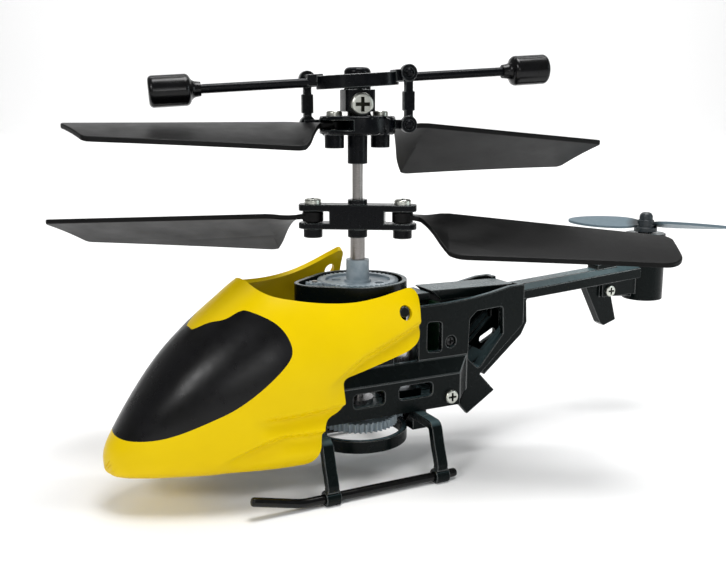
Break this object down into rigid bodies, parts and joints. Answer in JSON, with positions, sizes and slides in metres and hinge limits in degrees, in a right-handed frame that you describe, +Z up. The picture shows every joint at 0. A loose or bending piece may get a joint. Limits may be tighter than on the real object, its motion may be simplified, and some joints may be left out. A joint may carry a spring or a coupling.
{
  "type": "remote control helicopter",
  "caption": "Palm-size coaxial remote control helicopter with a flybar, geared rotors, a tail rotor, a clip-on canopy and skids.",
  "frame": {"origin": "on the surface that the skids stand on, midway between the foremost and rearmost tips; the rotor shaft stands 11.9 mm forward of it", "axes": "+X forward to the nose, +Y to port, +Z up along the rotor shaft"},
  "size_m": [0.1028, 0.0562, 0.0597],
  "materials": {
    "canopy_yellow": "glossy moulded, bright yellow",
    "window_black": "glossy black tinted",
    "frame_black": "satin moulded black",
    "skid_black": "glossy black rod",
    "rotor_black": "satin moulded black",
    "blade_black": "satin flexible blade plastic",
    "weight_black": "glossy black",
    "gear_grey": "satin blue-grey nylon",
    "tail_blue": "satin blue-grey",
    "shaft_chrome": "polished",
    "screw_steel": "nickel plated",
    "motor_steel": "drawn can",
    "bearing_steel": "turned",
    "screw_black": "blackened",
    "battery_wrap": "foil pouch",
    "board_green": "solder mask",
    "lens_dark": "dark epoxy",
    "socket_black": "moulded",
    "switch_white": "moulded",
    "wire_red": "insulated lead"
  },
  "bodies": {
    "airframe": {"frame_port": "frame_black", "frame_starboard": "frame_black", "top_deck": "frame_black", "tail_boom": "frame_black", "tail_motor_holder": "frame_black", "tail_motor": "motor_steel", "tail_motor_wires": "wire_red", "canopy": "canopy_yellow", "windscreen": "window_black", "landing_gear": "frame_black", "skid_port": "skid_black", "skid_starboard": "skid_black", "battery": "battery_wrap", "receiver_board": "board_green", "infrared_receiver": "lens_dark", "front_motor": "motor_steel", "rear_motor": "motor_steel", "charging_socket": "socket_black", "power_switch": "socket_black", "top_bearing": "bearing_steel", "bottom_bearing": "bearing_steel", "frame_screws": "screw_steel", "recessed_screws": "screw_black", "deck_screws": "screw_steel", "tail_screw": "screw_steel"},
    "lower_rotor": {"outer_shaft": "shaft_chrome", "outer_shaft_collar": "bearing_steel", "upper_main_gear": "gear_grey", "lower_blade_hub": "rotor_black", "lower_blade_screws": "screw_steel"},
    "lower_blade_a": {"lower_blade_a": "blade_black"},
    "lower_blade_b": {"lower_blade_b": "blade_black"},
    "upper_rotor": {"inner_shaft": "shaft_chrome", "lower_main_gear": "gear_grey", "rotor_head": "rotor_black", "head_screw": "screw_steel"},
    "see_saw": {"blade_see_saw": "rotor_black", "upper_blade_screws": "screw_steel"},
    "upper_blade_a": {"upper_blade_a": "blade_black"},
    "upper_blade_b": {"upper_blade_b": "blade_black"},
    "flybar": {"flybar": "rotor_black", "flybar_weights": "weight_black"},
    "link_a": {"link_a": "rotor_black"},
    "link_b": {"link_b": "rotor_black"},
    "front_drive": {"front_pinion": "gear_grey", "front_motor_shaft": "shaft_chrome"},
    "rear_drive": {"rear_pinion": "gear_grey", "rear_motor_shaft": "shaft_chrome"},
    "tail_rotor": {"tail_rotor": "tail_blue", "tail_motor_shaft": "shaft_chrome"},
    "switch_slider": {"switch_slider": "switch_white"}
  },
  "joints": [
    {"name": "lower_rotor_spin", "type": "hinge", "parent": "airframe", "child": "lower_rotor", "pos_m": [0.0119, 0, 0.03], "axis": [0, 0, 1], "continuous": true},
    {"name": "upper_rotor_spin", "type": "hinge", "parent": "airframe", "child": "upper_rotor", "pos_m": [0.0119, 0, 0.03], "axis": [0, 0, 1], "continuous": true},
    {"name": "front_pinion_spin", "type": "hinge", "parent": "airframe", "child": "front_drive", "pos_m": [0.01865, 0, 0.027], "axis": [0, 0, 1], "continuous": true},
    {"name": "rear_pinion_spin", "type": "hinge", "parent": "airframe", "child": "rear_drive", "pos_m": [0.00515, 0, 0.007], "axis": [0, 0, 1], "continuous": true},
    {"name": "tail_rotor_spin", "type": "hinge", "parent": "airframe", "child": "tail_rotor", "pos_m": [-0.0426, 0, 0.032], "axis": [0, 0, 1], "continuous": true},
    {"name": "lower_blade_a_swing", "type": "hinge", "parent": "lower_rotor", "child": "lower_blade_a", "pos_m": [0.01734, -0.00336, 0.0369], "axis": [0, 0, 1], "range_deg": [-45, 45]},
    {"name": "lower_blade_b_swing", "type": "hinge", "parent": "lower_rotor", "child": "lower_blade_b", "pos_m": [0.00645, 0.00336, 0.0369], "axis": [0, 0, 1], "range_deg": [-45, 45]},
    {"name": "flybar_tilt", "type": "hinge", "parent": "upper_rotor", "child": "flybar", "pos_m": [0.0119, 0, 0.0559], "axis": [0.2079, 0.9781, 0], "range_deg": [-6, 2.5]},
    {"name": "see_saw_tilt", "type": "hinge", "parent": "upper_rotor", "child": "see_saw", "pos_m": [0.0119, 0, 0.0493], "axis": [0.2079, 0.9781, 0], "range_deg": [-6, 2.5]},
    {"name": "upper_blade_a_swing", "type": "hinge", "parent": "see_saw", "child": "upper_blade_a", "pos_m": [0.01528, -0.00039, 0.0498], "axis": [0, 0, 1], "range_deg": [-10, 10]},
    {"name": "upper_blade_b_swing", "type": "hinge", "parent": "see_saw", "child": "upper_blade_b", "pos_m": [0.00852, 0.00039, 0.0498], "axis": [0, 0, 1], "range_deg": [-10, 10]},
    {"name": "link_a_pivot", "type": "hinge", "parent": "flybar", "child": "link_a", "pos_m": [0.00621, 0.00428, 0.05685], "axis": [0.2079, 0.9781, 0], "range_deg": [-2.5, 6]},
    {"name": "link_b_pivot", "type": "hinge", "parent": "flybar", "child": "link_b", "pos_m": [0.01766, -0.00429, 0.05605], "axis": [0.2079, 0.9781, 0], "range_deg": [-2.5, 6]},
    {"name": "power_switch_slide", "type": "slide", "parent": "airframe", "child": "switch_slider", "axis": [1, 0, 0], "range_m": [0, 0.0011]}
  ],
  "couplings": [
    {"joint": "front_pinion_spin", "follows": "lower_rotor_spin", "ratio": -5},
    {"joint": "rear_pinion_spin", "follows": "upper_rotor_spin", "ratio": -5},
    {"joint": "see_saw_tilt", "follows": "flybar_tilt", "ratio": 1},
    {"joint": "link_a_pivot", "follows": "flybar_tilt", "ratio": -1},
    {"joint": "link_b_pivot", "follows": "flybar_tilt", "ratio": -1}
  ]
}
